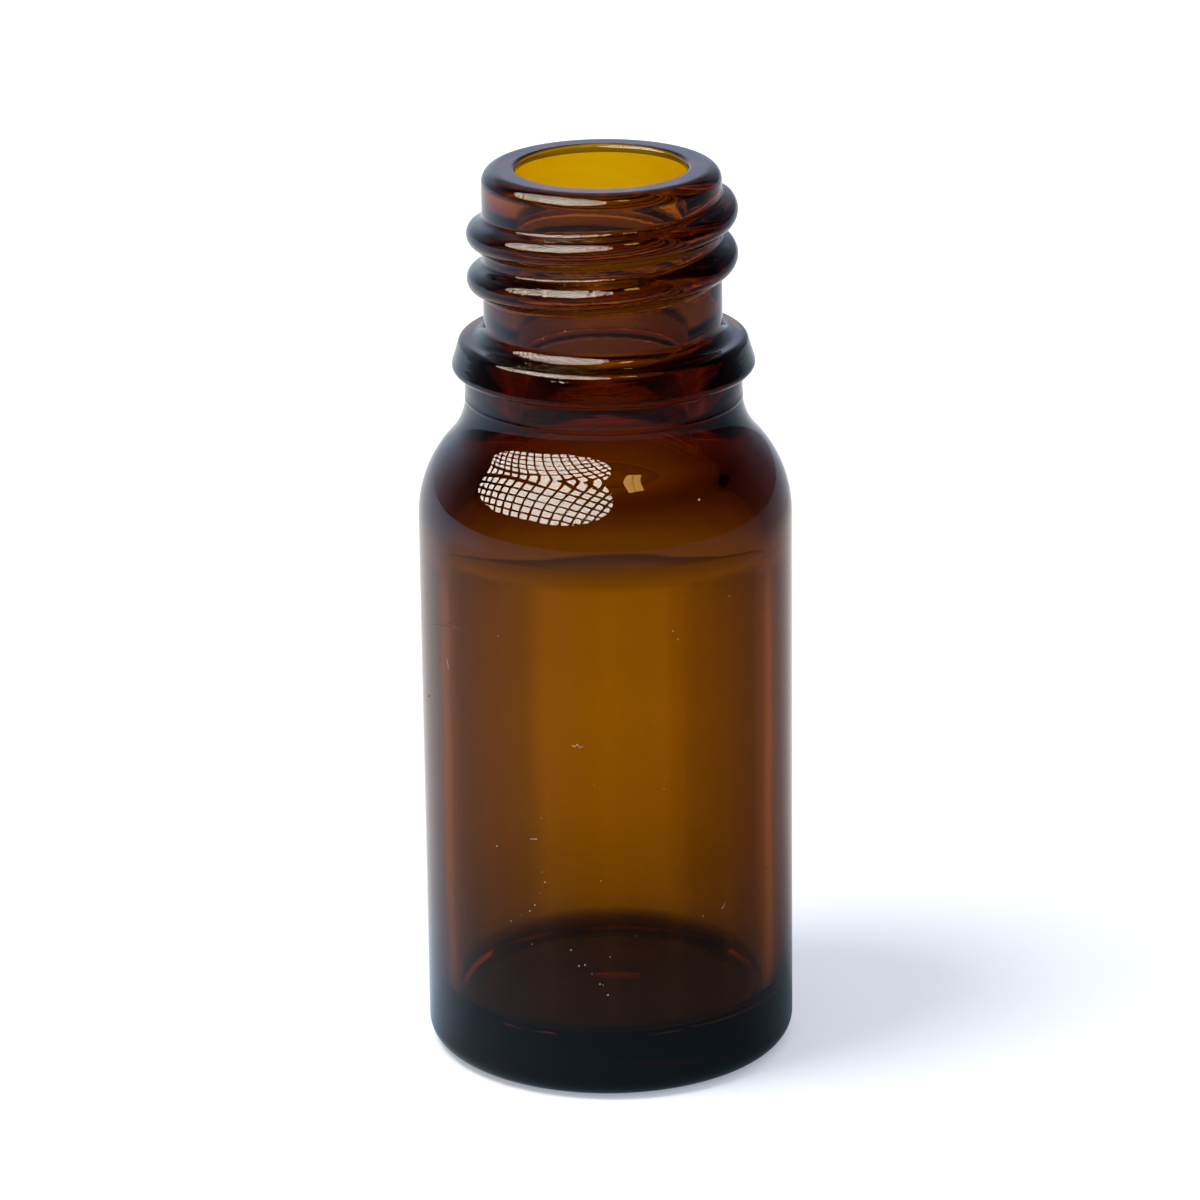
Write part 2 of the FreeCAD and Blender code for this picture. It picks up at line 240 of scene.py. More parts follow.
def amberGlass():
    material, shader = principledMaterial("amberGlass", (1, 1, 1), amber["roughness"])
    shader.inputs["IOR"].default_value = amber["ior"]
    shader.inputs["Transmission Weight"].default_value = 1
    losses = [-math.log(kept) / mm for kept in amber["keptPerMillimetre"]]
    density = max(losses) * amber["densityMargin"]
    tree = material.node_tree
    absorption = addNode(tree, "ShaderNodeVolumeAbsorption")
    absorption.inputs["Color"].default_value = (*(1 - loss / density for loss in losses), 1)
    absorption.inputs["Density"].default_value = density
    tree.links.new(absorption.outputs[0], tree.nodes["Material Output"].inputs["Volume"])

    place = addNode(tree, "ShaderNodeTexCoord").outputs["Object"]
    stretch = addNode(tree, "ShaderNodeMapping")
    tree.links.new(place, stretch.inputs["Vector"])
    across, upward = (1 / (amber[size] * mm) for size in ("streakLength", "streakHeight"))
    stretch.inputs["Scale"].default_value = (across, across, upward)
    streaks = addNode(tree, "ShaderNodeTexNoise")
    tree.links.new(stretch.outputs[0], streaks.inputs["Vector"])
    streaks.inputs["Scale"].default_value = 1.0
    streaks.inputs["Detail"].default_value = amber["streakDetail"]
    height = maths(tree, "DIVIDE", xyzOf(tree, place)["Z"], mm)
    onNeck = levelRamp(tree, height, amber["streaksAt"])
    relief = addNode(tree, "ShaderNodeBump")
    relief.inputs["Distance"].default_value = amber["streakDepth"] * mm
    tree.links.new(maths(tree, "MULTIPLY", streaks.outputs[0], onNeck),
                   relief.inputs["Height"])
    tree.links.new(relief.outputs[0], shader.inputs["Normal"])
    return material


# The bottle: one outline turned about the axis, with the thread raised from its neck

bottle = {
    "heelRound": 1.5,
    "shoulderRound": 7.7,
    "shoulderHollow": 4.45,
    "lowerNeckHeight": 1.63,
    "lowerNeckRadius": 9.15,
    "partingDrop": 1.75,
    "partingWidth": 0.3,
    "partingRise": 0.04,
    "finishHeight": 13.65,
    "beadHeight": 2.3,
    "beadLowRadius": 10.15,
    "beadHighRadius": 9.45,
    "beadUnderRound": 0.2,
    "beadLowRound": 0.45,
    "beadHighRound": 0.5,
    "beadNeckRound": 0.95,
    "neckRadius": 7.85,
    "rimRound": 0.95,
    "mouthRadius": 5.6,
    "mouthRound": 0.35,
    "wall": 2.0,
    "floor": 3.4,
    "floorRound": 1.6,
    "cavityShoulderDrop": 2.0,  # it starts this far below the outer shoulder
    "cavityShoulderRound": 5.7,
    "cavityHollow": 5.5,
    "standingRingWidth": 1.6,
    "pushUpDepth": 0.7,
    "pushUpRings": 8,
    "softEdge": 0.15,
    "turnStep": 4.0,  # degrees between two points of a rounding
    "columns": 230,  # faces round the bottle
    "samePoint": 0.0001,  # outline points this near are one
    "weld": 0.002,  # the turned mesh's points this near are joined
    "onAxis": 0.01,  # points this near the axis stay on it
    "outerWave": 0.012,
    "innerWave": 0.05,
    "wavePitch": 7.0,
    "waveDetail": 1.0,
    "seamAngle": -68.5,  # degrees from +X; the other seam lies opposite
    "seamRise": 0.006,
}
thread = {
    "rise": 1.05,
    "crestRound": 0.95,
    "land": 0.19,
    "pitch": 3.0,
    "drop": 2.58,  # rim to the middle of the thread's start
    "lift": 2.5,  # bead's top to the middle of the thread's end
    "startAngle": 40.0,
    "fadeAngle": 26.0,
    "lip": 0.05,  # the feet lie this far under the neck's face
    "rowStep": 0.11,
}
bodyRadius = bottleHigh.x / mm


def outlinePoints(corners):
    # Each corner is (distance from the axis, height, rounding, longest step to the next corner)
    places = [Vector(corner[:2]) for corner in corners]
    points = []
    for index, (_, _, rounding, _) in enumerate(corners):
        here = places[index]
        arc = [here]
        if rounding:
            back = (places[index - 1] - here).normalized()
            onward = (places[index + 1] - here).normalized()
            half = back.angle(onward) / 2
            centre = here + (back + onward).normalized() * rounding / math.sin(half)
            first = here + back * rounding / math.tan(half) - centre
            turn = math.pi - 2 * half
            side = 1 if back.y * onward.x > back.x * onward.y else -1
            steps = max(2, math.ceil(math.degrees(turn) / bottle["turnStep"]))
            arc = [centre + Matrix.Rotation(side * turn * step / steps, 2) @ first
                   for step in range(steps + 1)]
        if points:
            gap = arc[0] - points[-1]
            step = corners[index - 1][3]
            pieces = max(1, math.ceil(gap.length / step)) if step else 1
            start = points[-1]
            points += [start + gap * piece / pieces for piece in range(1, pieces)]
        points += [point for point in arc
                   if not points or (point - points[-1]).length > bottle["samePoint"]]
    return points


def curveCorners(lowRound, lowRadius, highRound, highRadius):
    # Two arcs that meet in a common tangent: their rise together, and how far each runs
    # along its own straight side
    across = highRadius + highRound - (lowRadius - lowRound)
    rise = math.sqrt((lowRound + highRound) ** 2 - across ** 2)
    reach = math.tan(math.asin(rise / (lowRound + highRound)) / 2)
    return rise, reach * lowRound, reach * highRound


def innerCorners(outerWallTop, height):
    wallTop = outerWallTop - bottle["cavityShoulderDrop"]
    cavityRadius = bodyRadius - bottle["wall"]
    bulge, hollow = bottle["cavityShoulderRound"], bottle["cavityHollow"]
    rise, lowReach, highReach = curveCorners(bulge, cavityRadius, hollow, bottle["mouthRadius"])
    return [
        (0, bottle["floor"], 0, 1.2),
        (cavityRadius, bottle["floor"], bottle["floorRound"], 1.4),
        (cavityRadius, wallTop + lowReach, bulge, 0),
        (bottle["mouthRadius"], wallTop + rise - highReach, hollow, 0.9),
        (bottle["mouthRadius"], height, bottle["mouthRound"], 0),
        ((bottle["mouthRadius"] + bottle["neckRadius"]) / 2, height, 0, 0),
    ]


def outerCorners(height, beadBottom, neckStart, wallTop, lowReach, highReach):
    beadTop = beadBottom + bottle["beadHeight"]
    neckOut = bottle["lowerNeckRadius"]
    ringOut = bodyRadius - bottle["heelRound"]
    domeOut = ringOut - bottle["standingRingWidth"]
    corners = [
        ((bottle["mouthRadius"] + bottle["neckRadius"]) / 2, height, 0, 0),
        (bottle["neckRadius"], height, bottle["rimRound"], thread["rowStep"]),
        (bottle["neckRadius"], beadTop, bottle["beadNeckRound"], 0),
        (bottle["beadHighRadius"], beadTop, bottle["beadHighRound"], 0.4),
        (bottle["beadLowRadius"], beadBottom, bottle["beadLowRound"], 0),
        (neckOut, beadBottom, bottle["beadUnderRound"], 0.4),
        (neckOut, neckStart - highReach, bottle["shoulderHollow"], 0),
        (bodyRadius, wallTop + lowReach, bottle["shoulderRound"], 1.4),
        (bodyRadius, 0, bottle["heelRound"], 0.5),
        (domeOut, 0, bottle["softEdge"], 0),
    ]
    rings = bottle["pushUpRings"]
    for ring in range(rings - 1, -1, -1):
        share = ring / rings
        corners.append((domeOut * share, bottle["pushUpDepth"] * (1 - share ** 2), 0, 0))
    return corners


def addParting(points, height):
    # A fine ridge round the bottle, where the body's mould met the neck's
    half = bottle["partingWidth"] / 2
    ridge = []
    for share in (1, 0.5, 0, -0.5, -1):
        level = height + half * share
        above, below = next(pair for pair in zip(points, points[1:])
                            if pair[0].y >= level > pair[1].y)
        onLine = above.lerp(below, (above.y - level) / (above.y - below.y))
        ridge.append(onLine + Vector((bottle["partingRise"] * (1 - abs(share)), 0)))
    return ([point for point in points if point.y > height + half] + ridge
            + [point for point in points if point.y < height - half])


def bottleOutline():
    height = bottleHigh.z / mm
    beadBottom = height - bottle["finishHeight"]
    neckStart = beadBottom - bottle["lowerNeckHeight"]
    rise, lowReach, highReach = curveCorners(
        bottle["shoulderRound"], bodyRadius,
        bottle["shoulderHollow"], bottle["lowerNeckRadius"],
    )
    wallTop = neckStart - rise
    inside = outlinePoints(innerCorners(wallTop, height))
    outside = outlinePoints(
        outerCorners(height, beadBottom, neckStart, wallTop, lowReach, highReach)
    )
    outside = addParting(outside, beadBottom - bottle["partingDrop"])
    points = inside + outside[1:]
    outline = bpy.data.meshes.new("bottleOutline")
    outline.from_pydata([(p.x * mm, 0, p.y * mm) for p in points], [], [])
    outer = outline.attributes.new("outer", "FLOAT", "POINT")
    outer.data.foreach_set("value", [0.0] * len(inside) + [1.0] * (len(outside) - 1))
    return outline


def threadHeight(tree, given, angle, height):
    # How far the thread stands out of the neck at this angle and height
    turned = maths(tree, "DIVIDE", maths(tree, "SUBTRACT", given["Thread Start"], angle), math.tau)
    started = maths(tree, "FRACT", turned)
    above = maths(tree, "SUBTRACT", given["Thread Top"], height)
    wanted = maths(tree, "DIVIDE", above, given["Thread Pitch"])
    wrap = maths(tree, "ROUND", maths(tree, "SUBTRACT", wanted, started))
    along = maths(tree, "ADD", started, wrap)
    fromTurn = maths(tree, "MULTIPLY", maths(tree, "SUBTRACT", wanted, along),
                     given["Thread Pitch"])
    away = maths(tree, "ABSOLUTE", fromTurn)
    awaySquared = maths(tree, "MULTIPLY", away, away)
    crest = given["Crest Round"]
    crestLeft = maths(tree, "SUBTRACT", maths(tree, "MULTIPLY", crest, crest), awaySquared)
    crestTop = maths(tree, "SQRT", maths(tree, "MAXIMUM", crestLeft, 0.0))
    onCrest = maths(tree, "ADD", crestTop, maths(tree, "SUBTRACT", given["Thread Rise"], crest))
    root = given["Root Round"]
    toFoot = maths(tree, "SUBTRACT", given["Foot Rise"], away)
    rootLeft = maths(tree, "SUBTRACT", maths(tree, "MULTIPLY", root, root),
                     maths(tree, "MULTIPLY", toFoot, toFoot))
    rootDip = maths(tree, "SQRT", maths(tree, "MAXIMUM", rootLeft, 0.0))
    rootMiddle = maths(tree, "SUBTRACT", root, given["Lip"])
    onRoot = maths(tree, "SUBTRACT", rootMiddle, rootDip)
    pastFlank = maths(tree, "GREATER_THAN", away, given["Flank Rise"])
    blend = addNode(tree, "ShaderNodeMix", data_type="FLOAT")
    feed(tree, blend.inputs[0], pastFlank)
    feed(tree, blend.inputs[2], onCrest)
    feed(tree, blend.inputs[3], onRoot)
    fromEnd = maths(tree, "MINIMUM", along,
                    maths(tree, "SUBTRACT", given["Thread Turns"], along))
    share = addNode(tree, "ShaderNodeClamp")
    feed(tree, share.inputs["Value"], maths(tree, "DIVIDE", fromEnd, given["Fade Turns"]))
    swing = maths(tree, "COSINE", maths(tree, "MULTIPLY", share.outputs[0], math.pi))
    sunk = maths(tree, "MULTIPLY_ADD", swing, 0.5, 0.5)
    depth = maths(tree, "MULTIPLY", sunk, given["Sink"])
    return maths(tree, "MAXIMUM", maths(tree, "SUBTRACT", blend.outputs[0], depth), 0.0)


def seamHeight(tree, given, turn):
    # Two fine ridges, half a turn apart
    fromSeam = maths(tree, "ABSOLUTE", maths(tree, "SINE", turn))
    seamHalf = maths(tree, "DIVIDE", math.tau, given["Columns"])
    near = maths(tree, "SUBTRACT", 1.0, maths(tree, "DIVIDE", fromSeam, seamHalf))
    return maths(tree, "MULTIPLY", maths(tree, "MAXIMUM", near, 0.0), given["Seam Rise"])


def flatGrid(tree, given):
    # A flat grid with one row for each point of the outline, the row that each of its points
    # is in, and how far round the bottle that point belongs
    counted = addNode(tree, "GeometryNodeAttributeDomainSize", component="MESH")
    tree.links.new(given["Outline"], counted.inputs[0])
    lastPoint = maths(tree, "SUBTRACT", counted.outputs["Point Count"], 1.0)
    grid = addNode(tree, "GeometryNodeMeshGrid")
    feed(tree, grid.inputs["Size X"], lastPoint)
    feed(tree, grid.inputs["Size Y"], given["Columns"])
    feed(tree, grid.inputs["Vertices X"], counted.outputs["Point Count"])
    feed(tree, grid.inputs["Vertices Y"], maths(tree, "ADD", given["Columns"], 1.0))
    spot = xyzOf(tree, addNode(tree, "GeometryNodeInputPosition").outputs[0])
    row = addNode(tree, "FunctionNodeFloatToInt", rounding_mode="ROUND")
    feed(tree, row.inputs[0], maths(tree, "MULTIPLY_ADD", lastPoint, 0.5, spot["X"]))
    column = maths(tree, "MULTIPLY_ADD", given["Columns"], 0.5, spot["Y"])
    turn = maths(tree, "MULTIPLY", maths(tree, "DIVIDE", column, given["Columns"]), math.tau)
    return grid.outputs["Mesh"], row.outputs[0], turn


def sampled(tree, outline, kind, value, index):
    # A value read from one point of the outline
    reading = addNode(tree, "GeometryNodeSampleIndex", data_type=kind)
    tree.links.new(outline, reading.inputs["Geometry"])
    tree.links.new(value, reading.inputs["Value"])
    tree.links.new(index, reading.inputs["Index"])
    return reading.outputs[0]


def waved(tree, given, geometry):
    # The slow waviness of the glass, stronger on its inside
    noise = addNode(tree, "ShaderNodeTexNoise")
    tree.links.new(addNode(tree, "GeometryNodeInputPosition").outputs[0], noise.inputs["Vector"])
    tree.links.new(given["Wave Scale"], noise.inputs["Scale"])
    noise.inputs["Detail"].default_value = bottle["waveDetail"]
    depth = addNode(tree, "ShaderNodeMix", data_type="FLOAT")
    feed(tree, depth.inputs[0], namedValue(tree, "outer"))
    feed(tree, depth.inputs[2], given["Inner Wave"])
    feed(tree, depth.inputs[3], given["Outer Wave"])
    fromMiddle = maths(tree, "SUBTRACT", noise.outputs[0], 0.5)
    push = addNode(tree, "ShaderNodeVectorMath", operation="SCALE")
    tree.links.new(addNode(tree, "GeometryNodeInputNormal").outputs[0], push.inputs[0])
    tree.links.new(maths(tree, "MULTIPLY", fromMiddle, depth.outputs[0]), push.inputs["Scale"])
    moved = addNode(tree, "GeometryNodeSetPosition")
    tree.links.new(geometry, moved.inputs["Geometry"])
    tree.links.new(push.outputs[0], moved.inputs["Offset"])
    return moved.outputs[0]


def turningTree(material):
    # The flat grid is bent round the axis, onto the outline and its ridges, and welded shut
    tree = bpy.data.node_groups.new("turnBottle", "GeometryNodeTree")
    given = treeInputs(tree, {
        "Outline": "NodeSocketGeometry", "Columns": "NodeSocketInt",
        "Seam Angle": "NodeSocketFloat", "Seam Rise": "NodeSocketFloat",
        "Thread Start": "NodeSocketFloat", "Thread Top": "NodeSocketFloat",
        "Thread Pitch": "NodeSocketFloat", "Thread Turns": "NodeSocketFloat",
        "Thread Rise": "NodeSocketFloat", "Crest Round": "NodeSocketFloat",
        "Root Round": "NodeSocketFloat", "Foot Rise": "NodeSocketFloat",
        "Flank Rise": "NodeSocketFloat", "Lip": "NodeSocketFloat",
        "Sink": "NodeSocketFloat", "Fade Turns": "NodeSocketFloat",
        "Outer Wave": "NodeSocketFloat", "Inner Wave": "NodeSocketFloat",
        "Wave Scale": "NodeSocketFloat",
    })
    grid, row, turn = flatGrid(tree, given)
    angle = maths(tree, "ADD", turn, given["Seam Angle"])
    here = addNode(tree, "GeometryNodeInputPosition").outputs[0]
    onOutline = xyzOf(tree, sampled(tree, given["Outline"], "FLOAT_VECTOR", here, row))
    outer = sampled(tree, given["Outline"], "FLOAT", namedValue(tree, "outer"), row)
    height = onOutline["Z"]
    ridges = maths(tree, "ADD", threadHeight(tree, given, angle, height),
                   seamHeight(tree, given, turn))
    offAxis = maths(tree, "GREATER_THAN", onOutline["X"], bottle["onAxis"] * mm)
    radius = maths(tree, "MULTIPLY_ADD", maths(tree, "MULTIPLY", ridges, outer), offAxis,
                   onOutline["X"])
    place = addNode(tree, "ShaderNodeCombineXYZ")
    feed(tree, place.inputs["X"], maths(tree, "MULTIPLY", radius, maths(tree, "COSINE", angle)))
    feed(tree, place.inputs["Y"], maths(tree, "MULTIPLY", radius, maths(tree, "SINE", angle)))
    feed(tree, place.inputs["Z"], height)

    keep = addNode(tree, "GeometryNodeStoreNamedAttribute", data_type="FLOAT")
    tree.links.new(grid, keep.inputs["Geometry"])
    keep.inputs["Name"].default_value = "outer"
    tree.links.new(outer, keep.inputs["Value"])
    turned = addNode(tree, "GeometryNodeSetPosition")
    tree.links.new(keep.outputs[0], turned.inputs["Geometry"])
    tree.links.new(place.outputs[0], turned.inputs["Position"])
    closed = addNode(tree, "GeometryNodeMergeByDistance")
    tree.links.new(turned.outputs[0], closed.inputs["Geometry"])
    closed.inputs["Distance"].default_value = bottle["weld"] * mm
    smooth = addNode(tree, "GeometryNodeSetShadeSmooth")
    tree.links.new(waved(tree, given, closed.outputs[0]), smooth.inputs["Geometry"])
    closeTree(tree, smooth.outputs[0], material)
    return tree


def makeBottle(material):
    height = bottleHigh.z / mm
    beadTop = height - bottle["finishHeight"] + bottle["beadHeight"]
    threadTop = height - thread["drop"]
    footRise = (thread["pitch"] - thread["land"]) / 2
    footPast = thread["crestRound"] - thread["rise"] - thread["lip"]
    rootRound = (footRise ** 2 + footPast ** 2 - thread["crestRound"] ** 2) / (
        2 * (thread["crestRound"] - footPast))
    flank = math.atan2(footRise, footPast + rootRound)
    values = {
        "Columns": bottle["columns"],
        "Seam Angle": math.radians(bottle["seamAngle"]),
        "Seam Rise": bottle["seamRise"] * mm,
        "Thread Start": math.radians(thread["startAngle"]),
        "Thread Top": threadTop * mm,
        "Thread Pitch": thread["pitch"] * mm,
        "Thread Turns": (threadTop - beadTop - thread["lift"]) / thread["pitch"],
        "Thread Rise": thread["rise"] * mm,
        "Crest Round": thread["crestRound"] * mm,
        "Root Round": rootRound * mm,
        "Foot Rise": footRise * mm,
        "Flank Rise": thread["crestRound"] * math.sin(flank) * mm,
        "Lip": thread["lip"] * mm,
        "Sink": (thread["rise"] + 2 * thread["lip"]) * mm,
        "Fade Turns": thread["fadeAngle"] / 360,
        "Outer Wave": bottle["outerWave"] * mm,
        "Inner Wave": bottle["innerWave"] * mm,
        "Wave Scale": 1 / (bottle["wavePitch"] * mm),
    }
    return grownMesh("glass_bottle", bottleOutline(), turningTree(material), values)


glass = makeBottle(amberGlass())
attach(glass, "root")
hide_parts("bottle")
print("bottle made:", len(glass.data.polygons), "faces")


# Dust and scratches on the glass, where the photograph shows them

dust = {
    "specks": (  # photograph's pixels, and millimetres across
        (497, 846, 0.14), (542, 872, 0.17), (545, 882, 0.13), (540, 893, 0.09),
        (535, 905, 0.14), (530, 911, 0.14), (521, 915, 0.09), (511, 921, 0.10),
        (722, 908, 0.10), (703, 916, 0.11), (571, 950, 0.15), (579, 966, 0.16),
        (585, 965, 0.12), (592, 974, 0.10), (600, 984, 0.12), (603, 985, 0.10),
        (608, 995, 0.14), (610, 957, 0.10), (673, 631, 0.12), (678, 639, 0.13),
        (729, 596, 0.12), (699, 500, 0.20), (498, 636, 0.11), (594, 785, 0.09),
        (664, 789, 0.09), (532, 944, 0.09), (541, 818, 0.09), (565, 331, 0.12),
        (543, 339, 0.11), (601, 881, 0.09),
    ),
    "scratches": (  # photograph's pixels along each
        ((447, 659), (448, 664), (449, 669)),
        ((572, 745), (575, 747), (577, 744), (580, 748), (583, 746)),
        ((530, 839), (533, 839), (537, 839)),
        ((722, 909), (725, 903)),
    ),
    "scratchWidth": 0.045,
    "colour": (0.62, 0.50, 0.33),
    "seed": 4,
}
darkSpecks = {
    "specks": (
        (429, 696, 0.14), (534, 716, 0.12), (531, 803, 0.10), (593, 832, 0.10),
        (598, 880, 0.13), (613, 903, 0.13), (767, 867, 0.14), (636, 936, 0.13),
        (747, 711, 0.11), (688, 459, 0.10), (497, 685, 0.10), (454, 640, 0.13),
    ),
    "scratches": (
        ((424, 626), (437, 624), (449, 627), (456, 628), (462, 630)),
        ((451, 638), (455, 640), (458, 640)),
    ),
    "scratchWidth": 0.04,
    "colour": (0.055, 0.035, 0.03),
    "seed": 9,
}
dustShape = {
    "leastSides": (0.6, 0.6, 0.5),  # a speck's sides, as shares of its size
    "mostSides": (1.3, 1.0, 0.8),
    "scratchSides": 6,
    "roughness": 0.8,
    "mottleSize": 1.0,
    "mottleDark": 0.55,
    "mottleBlend": (0.3, 0.7),
}


def onGlass(pixel):
    # Where the line of sight through a pixel of the photograph meets the glass
    eye = scene.camera.matrix_world
    right, up = pixel[0] / pictureSize - 0.5, 0.5 - pixel[1] / pictureSize
    sight = eye.to_3x3() @ Vector((right, up, -view["focalPixels"] / pictureSize))
    _, place, _, _ = glass.ray_cast(eye.translation, sight.normalized())
    return place


def dustTree(material):
    # A speck on each lone point, and a fine rod along each line of points
    tree = bpy.data.node_groups.new("scatterDust", "GeometryNodeTree")
    given = treeInputs(tree, {
        "Marks": "NodeSocketGeometry", "Scratch Width": "NodeSocketFloat",
        "Seed": "NodeSocketInt",
    })
    near = addNode(tree, "GeometryNodeInputMeshVertexNeighbors")
    alone = addNode(tree, "FunctionNodeCompare", data_type="INT", operation="EQUAL")
    tree.links.new(near.outputs["Vertex Count"], alone.inputs[2])
    speck = addNode(tree, "GeometryNodeMeshIcoSphere")
    speck.inputs["Radius"].default_value = 0.5
    speck.inputs["Subdivisions"].default_value = 1
    sides = addNode(tree, "FunctionNodeRandomValue", data_type="FLOAT_VECTOR")
    sides.inputs[0].default_value = dustShape["leastSides"]
    sides.inputs[1].default_value = dustShape["mostSides"]
    feed(tree, sides.inputs["Seed"], given["Seed"])
    grown = addNode(tree, "ShaderNodeVectorMath", operation="SCALE")
    tree.links.new(sides.outputs[0], grown.inputs[0])
    tree.links.new(namedValue(tree, "size"), grown.inputs["Scale"])
    turned = addNode(tree, "FunctionNodeRandomValue", data_type="FLOAT_VECTOR")
    turned.inputs[1].default_value = (math.tau, math.tau, math.tau)
    feed(tree, turned.inputs["Seed"], given["Seed"])
    specks = addNode(tree, "GeometryNodeInstanceOnPoints")
    tree.links.new(given["Marks"], specks.inputs["Points"])
    tree.links.new(alone.outputs[0], specks.inputs["Selection"])
    tree.links.new(speck.outputs["Mesh"], specks.inputs["Instance"])
    tree.links.new(turned.outputs[0], specks.inputs["Rotation"])
    tree.links.new(grown.outputs[0], specks.inputs["Scale"])
    path = addNode(tree, "GeometryNodeMeshToCurve")
    tree.links.new(given["Marks"], path.inputs["Mesh"])
    section = addNode(tree, "GeometryNodeCurvePrimitiveCircle")
    section.inputs["Resolution"].default_value = dustShape["scratchSides"]
    feed(tree, section.inputs["Radius"], maths(tree, "MULTIPLY", given["Scratch Width"], 0.5))
    scratches = addNode(tree, "GeometryNodeCurveToMesh")
    tree.links.new(path.outputs[0], scratches.inputs["Curve"])
    tree.links.new(section.outputs[0], scratches.inputs["Profile Curve"])
    scratches.inputs["Fill Caps"].default_value = True
    both = addNode(tree, "GeometryNodeJoinGeometry")
    tree.links.new(specks.outputs[0], both.inputs[0])
    tree.links.new(scratches.outputs[0], both.inputs[0])
    closeTree(tree, both.outputs[0], material)
    return tree


def dustMaterial(name, colour):
    material, shader = principledMaterial(name, colour, dustShape["roughness"])
    tree = material.node_tree
    mottle = addNode(tree, "ShaderNodeTexNoise")
    tree.links.new(addNode(tree, "ShaderNodeTexCoord").outputs["Object"], mottle.inputs["Vector"])
    mottle.inputs["Scale"].default_value = 1 / (dustShape["mottleSize"] * mm)
    darker = tuple(dustShape["mottleDark"] * part for part in colour)
    low, high = dustShape["mottleBlend"]
    tint = levelRamp(tree, mottle.outputs[0], ((low, darker), (high, colour)))
    tree.links.new(tint, shader.inputs["Base Color"])
    return material


def makeDust(name, spec):
    places = [onGlass(speck) for speck in spec["specks"]]
    sizes = [speck[2] * mm for speck in spec["specks"]]
    edges = []
    for scratch in spec["scratches"]:
        first = len(places)
        places += [onGlass(pixel) for pixel in scratch]
        edges += [(index, index + 1) for index in range(first, len(places) - 1)]
    sizes += [0.0] * (len(places) - len(sizes))
    marks = bpy.data.meshes.new(name + "Marks")
    marks.from_pydata(places, edges, [])
    marks.attributes.new("size", "FLOAT", "POINT").data.foreach_set("value", sizes)
    piece = grownMesh(name, marks, dustTree(dustMaterial(name, spec["colour"])), {
        "Scratch Width": spec["scratchWidth"] * mm, "Seed": spec["seed"]})
    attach(piece, "root")
    print(name, "made:", len(piece.data.polygons), "faces")


makeDust("pale_dust", dust)
makeDust("dark_specks", darkSpecks)


# Surroundings: a pale floor that carries a painted contact shadow, painted reflections and painted
# shade seen through the glass; a white background; and what the glass reflects

surroundings = {
    "floorHalf": 1.5,  # metres
    "floorColour": (0.80, 0.80, 0.80),
    "floorRoughness": 0.9,
    "floorLiftAndPaintedShadow": (  # millimetres from the axis, and light added there for the camera alone; less and bluer right by the base, a painted contact shadow
        (10.9, (0.22, 0.25, 0.30)),
        (12.6, (0.45, 0.46, 0.48)),
        (60.0, (0.48, 0.48, 0.48)),
        (160.0, (0.80, 0.80, 0.80)),
    ),
    "fill": 0.42,
    "fillColour": (0.71, 0.83, 1.12),
}
paintedReflectionFar = (  # degrees round from the front (left is minus), and colour reflected from there: a painted reflection that the floor glows with for rays off the glass alone
    (-180, (1.00, 1.00, 1.00)),
    (-150, (1.00, 1.00, 1.00)),
    (-125, (0.80, 0.86, 0.95)),
    (-102, (0.42, 0.44, 0.47)),
    (-69, (0.22, 0.23, 0.26)),
    (-41, (0.09, 0.10, 0.12)),
    (-10, (0.012, 0.012, 0.015)),
    (60, (0.02, 0.02, 0.03)),
    (92, (0.08, 0.08, 0.10)),
    (125, (0.38, 0.36, 0.38)),
    (150, (0.85, 0.80, 0.80)),
    (165, (1.00, 1.00, 1.00)),
    (180, (1.00, 1.00, 1.00)),
)
paintedReflectionNear = (  # the same painted reflection for the floor close to the bottle
    (-180, (1.00, 1.00, 1.00)),
    (-150, (1.00, 1.00, 1.00)),
    (-112, (0.62, 0.78, 1.00)),
    (-69, (0.28, 0.36, 0.44)),
    (0, (0.12, 0.20, 0.25)),
    (60, (0.08, 0.12, 0.15)),
    (112, (0.13, 0.18, 0.22)),
    (130, (0.33, 0.36, 0.40)),
    (150, (0.65, 0.67, 0.70)),
    (168, (1.00, 1.00, 1.00)),
    (180, (1.00, 1.00, 1.00)),
)
nearToFar = ((20.0, 0.0), (50.0, 1.0), (120.0, 1.0), (165.0, 0.0))  # millimetres from the axis
paintedReflectionTint = (  # millimetres from the axis, and tint of the painted reflection that the glass sees there
    (110.0, (1.00, 1.00, 1.00)),
    (180.0, (0.88, 0.92, 1.00)),
    (500.0, (0.70, 0.78, 0.90)),
    (1500.0, (0.62, 0.70, 0.85)),
)
reflectedRoom = (  # degrees round from the front, and colour reflected from above the floor
    (-180, (0.64, 0.72, 0.98)),
    (-165, (0.75, 0.88, 1.00)),
    (-148, (0.54, 0.70, 0.95)),
    (-126, (0.26, 0.28, 0.35)),
    (-110, (0.06, 0.07, 0.09)),
    (-80, (0.01, 0.01, 0.02)),
    (100, (0.01, 0.01, 0.02)),
    (114, (0.04, 0.04, 0.05)),
    (140, (0.13, 0.13, 0.18)),
    (160, (0.30, 0.37, 0.47)),
    (180, (0.64, 0.72, 0.98)),
)
roomHeights = (  # sine of the height angle, and brightness of the room there
    (0.34, 1.00),
    (0.50, 0.40),
    (1.00, 0.20),
)
stripSpacing = 45.0  # degrees from one bright strip round the bottle to the next, low down
stripLevels = (  # degrees from a strip's middle, and brightness seen through the glass there
    (0.0, 1.00),
    (3.5, 0.97),
    (5.8, 0.68),
    (9.0, 0.58),
    (16.0, 0.45),
)
stripFade = ((-0.31, 0.0), (-0.285, 1.0))  # sines between which they run up into plain white
stripHeights = (  # sine of the height angle, and brightness there
    (-0.195, 1.00),
    (-0.165, 0.34),
    (0.60, 0.12),
)
